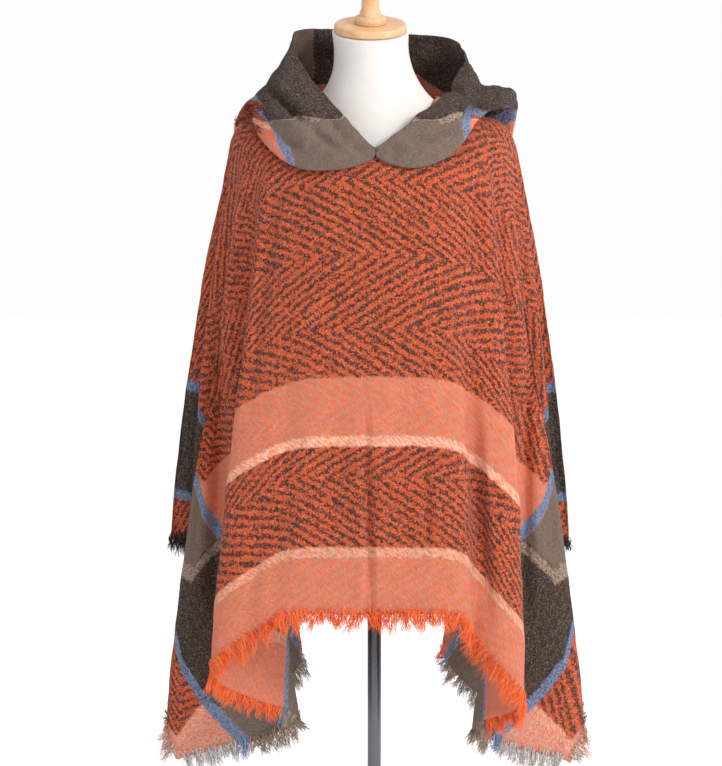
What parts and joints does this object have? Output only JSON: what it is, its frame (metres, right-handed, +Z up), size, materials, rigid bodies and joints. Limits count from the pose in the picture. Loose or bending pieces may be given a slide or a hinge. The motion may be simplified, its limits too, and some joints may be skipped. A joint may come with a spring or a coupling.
{
  "type": "hooded fringed poncho on a dress form",
  "caption": "Hooded blanket poncho in woven check cloth with fringed edges, draped over a limbless dress form on a round steel stand.",
  "frame": {"origin": "centre of the round base plate's underside, on the floor", "axes": "+Z up along the pole; the wearer's front faces -Y; +X to the right of someone facing the front"},
  "size_m": [0.6901, 0.4413, 1.5679],
  "materials": {
    "cloth": "brushed woven check in orange, dark brown, salmon, blue and taupe yarns",
    "hood_cloth": "brushed woven cloth in taupe and dark brown boucle",
    "fringe": "loose teased yarn ends",
    "jersey": "fine stretched off-white jersey",
    "wood": "turned pale beech, satin lacquer",
    "steel": "polished dark steel"
  },
  "bodies": {
    "root": {"front_panel": "cloth", "back_panel": "cloth", "hood_left": "hood_cloth", "hood_right": "hood_cloth", "fringe_front": "fringe", "fringe_right": "fringe", "fringe_back": "fringe", "fringe_left": "fringe", "form_torso": "jersey", "neck_cap": "wood", "finial": "wood", "pole": "steel", "base_plate": "steel"}
  },
  "joints": []
}
